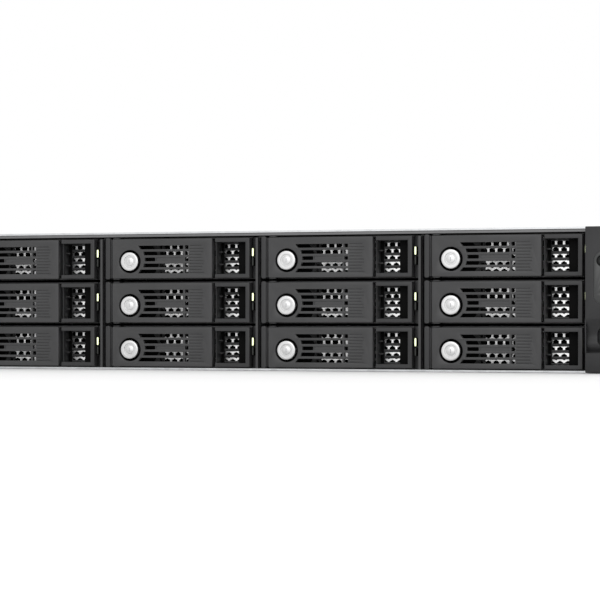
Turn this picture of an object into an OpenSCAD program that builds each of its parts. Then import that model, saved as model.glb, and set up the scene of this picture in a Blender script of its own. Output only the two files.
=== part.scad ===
// Two-unit rack-mount network storage server with twelve drive bays.
// Millimetres. X runs to the right and Y to the rear as seen from the front, and Z is up.
// The origin is the middle of the underside of the chassis.

/* [Chassis] */
// Width of the sheet-metal body, without the rack ears
body_w = 432; // [431.6:0.1:433]
// Height of the body
body_h = 88; // [87.8:0.1:88.2]
// Length of the body behind the drive bay dividers
body_len = 506; // [500:1:540]
// Thickness of the steel sheet
sheet = 1.2; // [1:0.1:1.2]

/* [Drive bays] */
// Distance between two columns of bays
bay_pitch_x = 106.6; // [106.6:0.1:106.7]
// Distance between two rows of bays
bay_pitch_z = 28.2; // [28.2:0.05:28.25]
// Thickness of a divider between two columns
divider = 2.4; // [2.3:0.1:2.4]
// Height of the lowest lever above the underside
lever_z0 = 2; // [2:0.1:2.1]

/* [Drive tray] */
// Height of a lever
lever_h = 25.15; // [24.8:0.05:25.15]
// Thickness of a lever's plate
lever_t = 3; // [2.5:0.1:3]
// Radius of the hinge pins of a lever
pin_r = 1; // [0.8:0.1:1]
// Play between a turning piece and its bore
play = 0.05; // [0.02:0.01:0.08]
// Depth from the front of the levers to the perforated sheet
mesh_d = 16.5; // [16:0.5:18]
// Length of the tray
tray_len = 182; // [178:1:182]

/* [Rack ears] */
// Width over the two ears
ears_w = 482.6; // [482:0.1:483]
// Distance between the left and the right rack screw
rack_pitch = 465.1; // [465:0.1:465.2]
// Height of the rack screws above the underside
rack_screw_z = 21.8; // [21.5:0.1:22.1]
// How far an ear stands in front of the levers
ear_proud = 10; // [6:0.5:12]

/* [Fans and supplies] */
// Side of a fan frame
fan_w = 80; // [76:1:80]
// Depth of a fan frame
fan_d = 38; // [25:1:38]
// Width of a power supply
psu_w = 74; // [72:0.5:74]
// Height of a power supply
psu_h = 40; // [38:0.5:40]
// Length of a power supply
psu_len = 189; // [180:1:190]

/* [Hidden] */
$fn = 48;
e = 0.01;
seam = 0.05;                           // between sheets that are riveted or clipped together
bays = [for (b = [1:12]) b];
columns = 4;
rows = 3;

function label(b) = b < 10 ? str("0", b) : str(b);

// Body planes
face_y = -256;                       // front of the levers
front_y = face_y + 1;                // front of the dividers and the floor
rear_y = front_y + body_len - 1;     // outer face of the rear wall
half_w = body_w / 2;
cover_z = body_h - sheet;            // underside of the covers
cover_split_y = -14;                 // where the two covers meet
lip_y = face_y + 2;                  // front edge of the front cover

// One bay, measured from its left divider, the lever's front and the lever's foot
cell_w = bay_pitch_x - divider;
strip_u0 = 1.6;                      // left strip of the fascia
strip_u1 = 5.3;
pivot_u = 9;                         // hinge axis of the lever
pivot_d = 2.5;
lever_u1 = 75.1;                     // free end of the lever
pocket_u0 = 76.4;                    // finger pocket
pocket_u1 = 97.7;
frame_u0 = 77.1;                     // frame round the pocket
frame_u1 = 100.4;
frame_bar = 2.5;
fascia_u0 = 0.5;
fascia_u1 = 103.5;
fascia_w0 = -0.7;
fascia_h = 26.75;
lug_t = 0.6;                         // thickness of the hinge lugs
fascia_d = 3.6;                      // set-back of the fascia behind the levers
lock_u = 18.65;
lock_w = 10.8;
lock_r = 5;
lock_cap_r = 6;
lock_well = [7.4, 5.5];              // radius and depth of the lock's recess
slot_pitch = 3.83;
slot_h = 2.3;
slot_w0 = 4.38;                      // middle of the lowest slot
slot_arc = [19.2, 12.04, 9.8];       // the slots end on this circle
hex_pitch = 5;
hex_r = 2.0;                         // corner radius of a hole in the sheet
side_u = 0.4;                        // outer face of the tray's sides
side_t = 0.8;
floor_t = 0.6;                       // floor of the tray
side_h = 18;
drive = [101.6, 147, 26.1];
drive_d = 24;
drive_w = 0.35;                      // underside of the drive, just clear of the floor
pipe = [1.3, 5];                     // light pipe, across and tall
pipe_u = 101.4;
pipe_w = [13.6, 7.6];                // feet of the two light pipes
ledge = [3, 1];                      // guide ledge, across and tall
ledge_w = -1.4;
cage_y1 = -70;

// Ears
ear_x0 = columns * bay_pitch_x / 2 - divider / 2;
ear_x1 = ears_w / 2;
ear_z = [0.3, 87.4];                 // foot and height
ear_y0 = face_y - ear_proud;
flange_y = face_y + 13;              // front of the steel flange
flange_t = 3;
scoop_r = 12;
scoop_z = 23.5;
button_x = 222.3;
button_z = 67.1;
button_r = 3;
light_z = [47.9, 53.2, 58.6];
light_x = 222.3;
rack_r = 2.5;
rack_neck_r = 2.1;                   // neck of the screw, ahead of its thread
rack_head_r = 5.5;

// Fans
fan_x = [-135, -15, 105];
fan_y = -60;
fan_z = 1.9 + fan_w / 2;
fan_bore = fan_w / 2 - 2;
hub_r = 17;
shaft_r = 1.5;
blades = 7;

// Rear end
psu_bay_x = 137.8;
psu_x = psu_bay_x + 1.5;
psu_z = [2, 44.4];
psu_y1 = rear_y + 1;
shelf_z = 42.6;
board = [330, 250, 1.6];
board_x = -206;
board_y = -6;
board_z = 8;
port_z = board_z + board[2];
rj_x = [-30, -13, 4, 21];
sfp_x = [46, 61];
usb_x = [82, 98];
card_x = [-62, -84, -106, -128];
top_rail = [84.95, 14];              // foot and depth of the rail over the top trays
head_r = 2.8;                        // flush screw heads
head_t = 0.9;
front_screw_x = [-190, -64, 64, 190];
front_screw_y = [face_y + 24, cover_split_y - 18];
vent_pitch = 8;
vent_r = 3.9;
cover_screw_x = [-190, 100];

function column_of(b) = (b - 1) % columns;
function row_of(b) = rows - 1 - floor((b - 1) / columns);
function cell_x(b) = (column_of(b) - columns / 2) * bay_pitch_x + divider / 2;
function cell_z(b) = lever_z0 + row_of(b) * bay_pitch_z;

// Places a piece drawn in a bay's own frame
module at_bay(b) translate([cell_x(b), face_y, cell_z(b)]) children();

// A drawing in X and Z, given depth along +Y from y0
module plate_xz(y0, t) translate([0, y0 + t, 0]) rotate([90, 0, 0]) linear_extrude(t) children();

// A cylinder along Y
module rod_y(x, y0, z, r, len, fn = 48)
    translate([x, y0, z]) rotate([-90, 0, 0]) cylinder(r = r, h = len, $fn = fn);

// Hexagonal holes in staggered rows over a rectangle of the X-Z drawing
module hex_field(x0, z0, nx, nz, pitch = hex_pitch, r = hex_r)
    for (j = [0:nz - 1]) for (i = [0:nx - 1])
        translate([x0 + (i + (j % 2) / 2) * pitch, z0 + j * pitch * sqrt(3) / 2])
            rotate(30) circle(r = r, $fn = 6);

// ---------- Chassis ----------

module chassis_base() {
    color("silver") {
        difference() {
            translate([-half_w, front_y, 0]) cube([body_w, rear_y - front_y, cover_z]);
            translate([-half_w + sheet, front_y - 1, sheet])
                cube([body_w - 2 * sheet, rear_y - front_y + 1 - sheet, body_h]);
            rear_cutouts();
            rail_holes();
        }
        rail_nuts();
        psu_cage();
        cover_tabs();
        for (x = [board_x + 8, board_x + board[0] - 8])
            for (y = [board_y + 8, board_y + board[1] / 2, board_y + board[1] - 12])
                translate([x, y, sheet]) difference() {
                    cylinder(r = 3, h = board_z - sheet);
                    translate([0, 0, 1]) cylinder(r = 1.5, h = board_z);
                }
    }
}

// Riveted insert: the wall beside the two supplies and the shelf between them
module psu_cage() {
    length = psu_len + 7 - sheet - seam;
    translate([psu_bay_x - sheet, psu_y1 - psu_len - 8, sheet + seam]) cube([sheet, length, 84]);
    translate([psu_bay_x - e, psu_y1 - psu_len - 8, shelf_z])
        cube([half_w - sheet - seam - psu_bay_x + e, length, sheet]);
}

// Tabs under the rear cover that take its screws
module cover_tabs()
    for (x = cover_screw_x) difference() {
        translate([x - 9, rear_y - 16, cover_z - sheet]) cube([18, 16, sheet]);
        translate([x, rear_y - 8, cover_z - 2]) cylinder(r = 1.6, h = 3);
    }

module rear_cutouts() {
    translate([psu_bay_x, rear_y - sheet - 1, sheet])
        cube([half_w - sheet - psu_bay_x, sheet + 2, cover_z]);
    translate([board_x + 166, rear_y - sheet - 1, board_z - 1]) cube([164, sheet + 2, 20]);
    for (x = card_x) {
        translate([x, rear_y - sheet - 1, 14]) cube([14, sheet + 2, 64]);
        translate([x - 2.2, rear_y - sheet - 1, 81.2]) cube([18.4, sheet + 2, 2]);
    }
    plate_xz(rear_y - sheet - 1, sheet + 2) {
        hex_field(-38, 40, 20, 6, vent_pitch, vent_r);
        hex_field(-203, 16, 7, 9, vent_pitch, vent_r);
    }
}

// Tapped holes for slide rails, two on each side
module rail_holes()
    for (y = [-150, 170]) translate([-half_w - 1, y, 44]) rotate([0, 90, 0])
        cylinder(r = 2, h = body_w + 2);

module rail_nuts()
    for (s = [-1, 1]) for (y = [-150, 170])
        translate([s * (half_w - sheet), y, 44]) rotate([0, -s * 90, 0]) difference() {
            cylinder(r = 4, h = 1.4);
            translate([0, 0, -e]) cylinder(r = 2, h = 2);
        }

// Dividers between the columns, with a rail over the top row
module drive_cage() {
    wall_len = cage_y1 - front_y;
    tie = 3.5;
    color("#3a3a3c") {
        for (i = [0:columns]) {
            mid = (i - columns / 2) * bay_pitch_x;
            x0 = i == 0 ? mid : mid - divider / 2;
            t = i == 0 || i == columns ? divider / 2 : divider;
            difference() {
                translate([x0, front_y, sheet]) cube([t, wall_len - tie - seam, top_rail[0] - seam - sheet]);
                translate([x0 - 1, front_y - 1, 83.6]) cube([t + 2, 7, 5]);
                if (i == 0 || i == columns) translate([mid - 5, -150, 44]) rotate([0, 90, 0])
                    cylinder(r = 4.5, h = 10);
            }
        }
        translate([-2 * bay_pitch_x, cage_y1 - tie, 80]) cube([4 * bay_pitch_x, tie, 6.6]);
        translate([-2 * bay_pitch_x, lip_y, top_rail[0]])
            cube([4 * bay_pitch_x, top_rail[1], cover_z - top_rail[0]]);
        tray_ledges();
    }
}

// Clipped-in ledges that the trays run on, on both faces of the dividers
module tray_ledges()
    for (i = [0:columns - 1]) for (k = [0:rows - 1]) {
        foot = lever_z0 + k * bay_pitch_z + ledge_w;
        z0 = max(sheet + seam, foot);
        for (u = [seam, cell_w - ledge[0] - seam])
            translate([(i - columns / 2) * bay_pitch_x + divider / 2 + u, face_y + 18, z0])
                cube([ledge[0], tray_len - 20, foot + ledge[1] - z0]);
    }

// Top sheet over the drives, with two side flanges
module front_cover() {
    color("silver") {
        difference() {
            translate([-half_w, lip_y, cover_z]) cube([body_w, cover_split_y - lip_y, sheet]);
            for (x = front_screw_x) for (y = front_screw_y) translate([x, y, body_h - head_t])
                cylinder(r = head_r, h = 2);
        }
        cover_flanges(lip_y + 20, cover_split_y - 8, 10);
    }
}

module cover_flanges(y0, y1, h)
    for (s = [-1, 1]) translate([s * (half_w - sheet - 0.8) - 0.5, y0, cover_z - h])
        cube([1, y1 - y0, h + e]);

// Top sheet over the electronics; it lifts off with its two captive screws
module rear_cover() {
    y0 = cover_split_y + 0.5;
    color("silver") {
        difference() {
            translate([-half_w, y0, cover_z]) cube([body_w, rear_y - y0, sheet]);
            for (x = cover_screw_x) translate([x, rear_y - 8, body_h - head_t])
                cylinder(r = head_r, h = 2);
        }
        cover_flanges(y0 + 6, y0 + 56, 8);
    }
    color("silver") for (x = cover_screw_x) translate([x, rear_y - 8, body_h - head_t]) {
        screw_head();
        translate([0, 0, -3.5]) cylinder(r = 1.5, h = 3.5);
    }
}

// Screws that hold the front cover and the ears
module fixing_screws() color("silver") {
    for (x = front_screw_x) for (y = front_screw_y) translate([x, y, body_h - head_t])
        screw_head();
    for (s = [-1, 1]) for (y = [face_y + 28, face_y + 58]) for (z = [16, 72])
        translate([s * (half_w + 1.6), y, z]) rotate([0, s * 90, 0]) screw_head();
}

module screw_head() difference() {
    cylinder(r = head_r, h = head_t);
    translate([0, 0, 0.3]) cylinder(r = 1.3, h = 1, $fn = 6);
}

// ---------- Rack ears ----------

// The right ear; the left one is its mirror image without the button and the lights
module ear(with_button) {
    color("#3a3b3d") difference() {
        union() {
            translate([ear_x0, ear_y0, ear_z[0]])
                cube([ear_x1 - ear_x0, front_y - 0.4 - ear_y0, ear_z[1]]);
            translate([half_w + 0.1, ear_y0, ear_z[0]])
                cube([ear_x1 - half_w - 0.1, flange_y - ear_y0, ear_z[1]]);
        }
        translate([ear_x0 + 1, ear_y0 - scoop_r + 4.5, scoop_z]) rotate([0, 90, 0])
            cylinder(r = scoop_r, h = 40, $fn = 96);
        translate([ear_x0 - 1, ear_y0 - 1, 12.4]) cube([40, 1.8, 0.5]);
        rod_y(rack_pitch / 2, ear_y0 - 1, rack_screw_z, rack_head_r + 0.4, 15);
        rod_y(rack_pitch / 2, ear_y0 - 1, rack_screw_z, rack_r + 0.3, 40);
        if (with_button) {
            rod_y(button_x, ear_y0 - 1, button_z, button_r + 0.3, 7);
            rod_y(button_x, ear_y0 - 1, button_z, 2.3, 12);
            for (z = light_z) rod_y(light_x, ear_y0 - 1, z, 1, 8);
        }
    }
    color("gray") difference() {
        union() {
            translate([half_w, flange_y, ear_z[0] + 0.2])
                cube([ear_x1 - half_w, flange_t, ear_z[1] - 0.4]);
            translate([half_w, flange_y + flange_t, 4]) cube([1.6, 56, 80]);
        }
        rod_y(rack_pitch / 2, flange_y - 1, rack_screw_z, rack_r + 0.3, 10);
    }
}

module right_ear() ear(true);
module left_ear() mirror([1, 0, 0]) ear(false);

module power_button() {
    color("#26272a") {
        rod_y(button_x, ear_y0 - 0.6, button_z, button_r, 4.6);
        rod_y(button_x, ear_y0 + 4, button_z, 2.2, 4);
    }
}

module status_lights()
    color("palegreen") for (z = light_z) rod_y(light_x, ear_y0 - 0.2, z, 1, 6);

// Captive knurled screw that holds an ear to the rack post
module rack_screw(s) {
    x = s * rack_pitch / 2;
    thread_y = flange_y + flange_t + 0.4;
    color("#1c1c1e") {
        difference() {
            rod_y(x, ear_y0 + 1.5, rack_screw_z, rack_head_r, 9);
            for (a = [0:30:330])
                rod_y(x + (rack_head_r + 0.3) * cos(a), ear_y0 + 1,
                      rack_screw_z + (rack_head_r + 0.3) * sin(a), 0.7, 8, 12);
            translate([x - 3.5, ear_y0 + 1, rack_screw_z - 0.6]) cube([7, 1.5, 1.2]);
        }
        rod_y(x, ear_y0 + 10.5, rack_screw_z, rack_neck_r, thread_y - ear_y0 - 10.5 + e);
        rod_y(x, thread_y, rack_screw_z, rack_r, 9);
    }
}

// ---------- Drive trays ----------

// Moulded front of a tray: left strip, lever recess, finger pocket and light-pipe post
module tray_fascia() {
    color("#2b2c2e") {
        difference() {
            union() {
                translate([fascia_u0, fascia_d, fascia_w0])
                    cube([fascia_u1 - fascia_u0, mesh_d - fascia_d, fascia_h]);
                translate([strip_u0, 0.3, fascia_w0]) cube([strip_u1 - strip_u0, 5, fascia_h]);
                translate([frame_u0, 0, 0]) cube([frame_u1 - frame_u0, 6.8, lever_h]);
                for (w = [fascia_w0, fascia_w0 + fascia_h - lug_t])
                    translate([6.6, 0.4, w]) cube([5, 5, lug_t]);
            }
            translate([strip_u1, fascia_d - 1, 0.1]) cube([75.3 - strip_u1, 20, 24.95]);
            translate([pocket_u0, -1, frame_bar])
                cube([pocket_u1 - pocket_u0, 7.8, lever_h - 2 * frame_bar]);
            translate([pocket_u0, 6, frame_bar])
                cube([90.6 - pocket_u0, 8.5, lever_h - 2 * frame_bar]);
            for (i = [0:4]) translate([78.5, 13, 3.6 + i * 3.95]) cube([11.5, 6, 2.2]);
            translate([frame_u1, fascia_d - 1, fascia_w0 - 1])
                cube([5, 6.8 - fascia_d + 1, fascia_h + 2]);
            for (w = pipe_w) translate([pipe_u, 5, w]) cube([pipe[0], 20, pipe[1]]);
        }
        for (w = [-0.5, lever_h - 3.5])
            translate([pivot_u, pivot_d, w]) cylinder(r = pin_r, h = 4);
    }
}

module tray_mesh()
    color("gainsboro") plate_xz(mesh_d, side_t) difference() {
        translate([side_u + 1, 0.2]) square([99.7, 24.6]);
        hex_field(38, 2.95, 4, 5);
        hex_field(78, 2.95, 3, 5);
    }

module tray_carrier()
    color("silver") difference() {
        translate([side_u, mesh_d + side_t, -0.3])
            cube([cell_w - 2 * side_u, tray_len - mesh_d - side_t, side_h]);
        translate([side_u + side_t, mesh_d, -0.3 + floor_t])
            cube([cell_w - 2 * side_u - 2 * side_t, tray_len, side_h]);
        translate([15, 50, -2]) cube([74, 110, 5]);
        for (d = [40, 85, 145]) translate([-1, d, 6.8]) rotate([0, 90, 0]) cylinder(r = 1.8, h = 110);
    }

module tray_drive()
    color("#8f9296") difference() {
        translate([(cell_w - drive[0]) / 2, drive_d, drive_w]) cube(drive);
        translate([8, drive_d + 8, drive_w + drive[2] - 1]) cube([86, 100, 5]);
        translate([20, drive_d + drive[1] - 5, -1]) cube([62, 10, 7]);
    }

module light_pipes()
    color("#d8f0a0") for (w = pipe_w)
        translate([pipe_u, 0.8, w]) cube([pipe[0], 20, pipe[1]]);

module drive_tray(b) at_bay(b) {
    tray_fascia();
    tray_mesh();
    tray_carrier();
    tray_drive();
    light_pipes();
}

// Front outline of a lever with its air slots
module lever_slots()
    for (i = [0:4]) {
        w = slot_w0 + i * slot_pitch - slot_h / 2;
        u = slot_arc[0] + sqrt(pow(slot_arc[2], 2) - pow(w + slot_h / 2 - slot_arc[1], 2));
        translate([u, w]) square([55.4 - u, slot_h]);
        translate([56.7, w]) square([2.3, slot_h]);
    }

module tray_lever(b) at_bay(b) color("#4a4b4d") difference() {
    union() {
        translate([pivot_u, pivot_d, 0.2]) cylinder(r = pivot_d, h = lever_h - 0.4);
        plate_xz(0, lever_t) difference() {
            translate([pivot_u, 0]) square([lever_u1 - pivot_u, lever_h]);
            lever_slots();
        }
        rod_y(lock_u, lever_t - e, lock_w, lock_well[0] + 1.2, 9);
        translate([73, lever_t - e, 1]) cube([1.5, 5, lever_h - 2]);
        for (w = [0.8, lever_h - 1.8]) translate([14, lever_t - e, w]) cube([59.5, 3, 1]);
    }
    rod_y(lock_u, -1, lock_w, lock_well[0], lock_well[1] + 1);
    rod_y(lock_u, -1, lock_w, lock_r + play, 20);
    for (w = [-1, lever_h - 4])
        translate([pivot_u, pivot_d, w]) cylinder(r = pin_r + play, h = 5);
}

module tray_lock(b) at_bay(b) color("gainsboro") difference() {
    union() {
        rod_y(lock_u, -1, lock_w, lock_cap_r, 2);
        rod_y(lock_u, 0.9, lock_w, lock_r, 11.5);
        translate([lock_u - 2.5, 12.3, lock_w - 2.5]) cube([5, 1.5, 12]);
    }
    translate([lock_u - 0.6, -2, lock_w - 2.6]) cube([1.2, 5, 5.2]);
}

// ---------- Inside ----------

module backplane() {
    color("darkgreen") plate_xz(cage_y1, 2.4) difference() {
        translate([-212, 4]) square([424, 80]);
        for (b = bays) translate([cell_x(b), cell_z(b)]) {
            translate([6, 4]) square([22, 16]);
            translate([80, 4]) square([18, 16]);
        }
    }
    color("#222222") for (b = bays) at_bay(b)
        translate([31, drive_d + drive[1] + 0.5, 1.2]) cube([42, 14.6, 5]);
}

// Sheet that carries the fans
module fan_wall()
    plate_xz(fan_y - sheet - seam, sheet) difference() {
        translate([-213.2, sheet]) square([426.4, 84.8]);
        for (x = fan_x) translate([x, fan_z]) circle(fan_bore);
    }

module fan_frames() {
    color("silver") fan_wall();
    color("#1e1e20") for (x = fan_x) {
        difference() {
            translate([x - fan_w / 2, fan_y, fan_z - fan_w / 2]) cube([fan_w, fan_d, fan_w]);
            rod_y(x, fan_y - 1, fan_z, fan_bore, fan_d - 4, 96);
            rod_y(x, fan_y - 1, fan_z, hub_r, fan_d + 2, 96);
            plate_xz(fan_y + fan_d - 6, 8) translate([x, fan_z]) for (q = [0:3]) rotate(q * 90)
                intersection() {
                    difference() {
                        circle(fan_bore);
                        circle(hub_r + 1);
                    }
                    translate([2, 2]) square(fan_bore);
                }
        }
        difference() {
            rod_y(x, fan_y + fan_d - 7, fan_z, hub_r, 7);
            rod_y(x, fan_y + fan_d - 8, fan_z, shaft_r + play, 6);
        }
    }
}

module fan_rotor(i) {
    x = fan_x[i - 1];
    y0 = fan_y + 2;
    color("#26262a") {
        rod_y(x, y0, fan_z, hub_r - 0.5, fan_d - 10);
        rod_y(x, y0 + fan_d - 10, fan_z, shaft_r, 6);
        intersection() {
            rod_y(x, y0, fan_z, fan_bore - 0.8, fan_d, 96);
            for (a = [0:360 / blades:359]) translate([x, y0 + 2, fan_z]) rotate([0, a, 0])
                translate([hub_r - 2, 0, 0]) rotate([38, 0, 0])
                    translate([0, 1, -0.8]) cube([fan_bore, 22, 1.6]);
        }
    }
}

module mainboard() {
    color("darkgreen") translate([board_x, board_y, board_z]) difference() {
        cube(board);
        for (x = [8, board[0] - 8]) for (y = [8, board[1] / 2, board[1] - 12])
            translate([x, y, -1]) cylinder(r = 1.6, h = 4);
    }
    color("#202020") {
        for (i = [0:3]) translate([-20 + i * 9, 40, port_z]) cube([6, 140, 8]);
        translate([-150, 60, port_z]) cube([60, 60, 3]);
        for (x = card_x) translate([x + 2, 150, port_z]) cube([8, 90, 10]);
    }
}

module cpu_heatsink()
    color("silver") translate([-160, 48, port_z + 3]) {
        cube([80, 84, 4]);
        for (i = [0:19]) translate([0.5 + i * 4.1, 0, 4]) cube([1, 84, 46]);
    }

module memory_modules()
    color("seagreen") for (i = [0:3]) translate([-17.6 + i * 9, 43, port_z + 8])
        cube([1.2, 133, 28]);

// Connectors along the rear edge of the board and the blank covers of the card slots
module rear_ports() {
    y1 = rear_y + 0.6;
    color("silver") {
        for (x = rj_x) port_shell(x, 15.5, 13, 18, [12, 10.5]);
        for (x = sfp_x) port_shell(x, 14, 11, 30, [12, 8.5]);
        for (x = usb_x) port_shell(x, 14, 16, 18, [12, 13]);
        for (x = card_x) {
            translate([x - 2, rear_y, 11]) cube([18, 0.8, 72]);
            translate([x - 2, rear_y - 12, 82]) cube([18, 12, 1]);
            translate([x - 2, rear_y - 1, 81.4]) cube([18, 1.8, 1.6]);
        }
    }
    module port_shell(x, w, h, len, hole) translate([x, y1 - len, port_z]) difference() {
        cube([w, len, h]);
        translate([(w - hole[0]) / 2, len - 14, (h - hole[1]) / 2]) cube([hole[0], 20, hole[1]]);
    }
}

// ---------- Power supplies ----------

module psu(i) translate([psu_x, psu_y1 - psu_len, psu_z[i - 1]]) {
    color("silver") difference() {
        cube([psu_w, psu_len, psu_h]);
        translate([1, -1, 1]) cube([psu_w - 2, psu_len, psu_h - 2]);
        translate([46, psu_len - 2, 11]) cube([24, 4, 16]);
        plate_xz(psu_len - 2, 4) intersection() {
            hex_field(2, 0, 9, 10);
            translate([22, psu_h / 2]) circle(r = 17);
        }
    }
    color("#1a1a1c") {
        difference() {
            translate([44.5, psu_len - 18, 9.5]) cube([27, 17, 19]);
            translate([46, psu_len - 15, 11]) cube([24, 20, 16]);
        }
        for (x = [50, 57, 64]) translate([x, psu_len - 15, 17]) cube([1.6, 9, 4]);
        for (x = [3, 40]) translate([x, psu_len, 31.5]) difference() {
            cube([2.4, 7, 7]);
            translate([-1, 3.6, 3.5]) rotate([0, 90, 0]) cylinder(r = 1.5 + play, h = 6);
        }
        translate([48, psu_len, 31.5]) cube([16, 5, 5]);
    }
    color("darkgreen") translate([4, 2, 4]) cube([66, psu_len - 24, 1.6]);
}

// Bail handle that hangs in front of the supply's fan
module psu_handle(i)
    translate([psu_x, psu_y1, psu_z[i - 1]]) color("#1a1a1c") {
        translate([2, 3.6, 35]) rotate([0, 90, 0]) cylinder(r = 1.5, h = 4.2);
        translate([39.2, 3.6, 35]) rotate([0, 90, 0]) cylinder(r = 1.5, h = 4.2);
        for (x = [5.8, 37]) translate([x, 1.6, 4]) cube([2.2, 4, 32.8]);
        translate([5.8, 1.6, 4]) cube([33.4, 4, 5]);
    }

// ---------- Drawing ----------

chassis_base();
drive_cage();
front_cover();
rear_cover();
fixing_screws();
left_ear();
right_ear();
power_button();
status_lights();
rack_screw(-1);  // rack_screw_left
rack_screw(1);  // rack_screw_right
backplane();
fan_frames();
for (i = [1:3]) fan_rotor(i);
mainboard();
cpu_heatsink();
memory_modules();
rear_ports();
for (i = [1:2]) psu(i);
for (i = [1:2]) psu_handle(i);
for (b = bays) drive_tray(b);
for (b = bays) tray_lever(b);
for (b = bays) tray_lock(b);
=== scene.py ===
"""Looks of a two-unit rack-mount network storage server with twelve drive bays."""

import math

import bmesh
import bpy
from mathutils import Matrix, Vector
from mathutils.geometry import tessellate_polygon


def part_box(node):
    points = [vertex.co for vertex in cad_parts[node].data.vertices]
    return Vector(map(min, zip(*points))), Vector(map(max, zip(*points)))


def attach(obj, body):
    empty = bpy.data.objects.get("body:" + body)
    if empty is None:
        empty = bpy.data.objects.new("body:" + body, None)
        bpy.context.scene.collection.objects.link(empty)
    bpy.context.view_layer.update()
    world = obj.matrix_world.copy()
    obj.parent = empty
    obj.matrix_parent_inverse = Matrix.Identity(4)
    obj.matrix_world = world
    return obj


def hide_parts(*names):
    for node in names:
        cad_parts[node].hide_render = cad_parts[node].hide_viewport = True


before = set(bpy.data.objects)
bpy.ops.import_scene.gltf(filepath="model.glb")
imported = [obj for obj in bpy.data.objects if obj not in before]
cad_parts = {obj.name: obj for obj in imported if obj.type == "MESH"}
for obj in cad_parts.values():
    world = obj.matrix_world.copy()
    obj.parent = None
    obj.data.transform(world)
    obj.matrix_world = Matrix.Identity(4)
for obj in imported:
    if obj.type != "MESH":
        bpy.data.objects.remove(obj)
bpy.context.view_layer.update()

MM = 0.001
BAYS = ["%02d" % b for b in range(1, 13)]


# ---------- Camera ----------

CAMERA_AT = (0.5086, -1.6469, 0.03316)
CAMERA_YAW = math.radians(19.033)      # turned to the left of +Y
CAMERA_LENS = 141.13                   # on a 36 mm sensor
CAMERA_SHIFT_Y = 0.0296


def add_camera():
    camera = bpy.data.objects.new("camera", bpy.data.cameras.new("camera"))
    bpy.context.scene.collection.objects.link(camera)
    camera.location = CAMERA_AT
    camera.rotation_euler = (math.pi / 2, 0, CAMERA_YAW)
    camera.data.sensor_width = 36
    camera.data.lens = CAMERA_LENS
    camera.data.shift_y = CAMERA_SHIFT_Y
    camera.data.clip_start = 0.02
    camera.data.clip_end = 50
    bpy.context.scene.camera = camera


# ---------- Outlines, in millimetres ----------


def rect(a0, b0, a1, b1, r=0.0, steps=3):
    """A rectangle, with rounded corners where r is given."""
    if r <= 0:
        return [(a0, b0), (a1, b0), (a1, b1), (a0, b1)]
    corners = ((a1 - r, b0 + r, -90), (a1 - r, b1 - r, 0), (a0 + r, b1 - r, 90), (a0 + r, b0 + r, 180))
    return [
        (a + r * math.cos(math.radians(start + 90 * k / steps)),
         b + r * math.sin(math.radians(start + 90 * k / steps)))
        for a, b, start in corners
        for k in range(steps + 1)
    ]


def circle(a, b, r, sides=32, turn=0.0):
    return [
        (a + r * math.cos(turn + 2 * math.pi * k / sides), b + r * math.sin(turn + 2 * math.pi * k / sides))
        for k in range(sides)
    ]


def hexagon(a, b, r):
    return circle(a, b, r, 6, math.pi / 6)


def area(points):
    return sum(p[0] * q[1] - q[0] * p[1] for p, q in zip(points, points[1:] + points[:1])) / 2


def shifted(points, amount):
    """Moves a closed outline to its left by amount, with mitred corners."""
    moved = []
    for before, here, after in zip(points[-1:] + points[:-1], points, points[1:] + points[:1]):
        normals = []
        for p, q in ((before, here), (here, after)):
            length = math.hypot(q[0] - p[0], q[1] - p[1]) or 1.0
            normals.append((-(q[1] - p[1]) / length, (q[0] - p[0]) / length))
        (ax, ay), (bx, by) = normals
        reach = amount / max(0.35, 1 + ax * bx + ay * by)
        moved.append((here[0] + (ax + bx) * reach, here[1] + (ay + by) * reach))
    return moved


# ---------- Solids ----------

PLANES = {"x": (1, 2, 0), "y": (0, 2, 1), "z": (0, 1, 2)}


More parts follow.
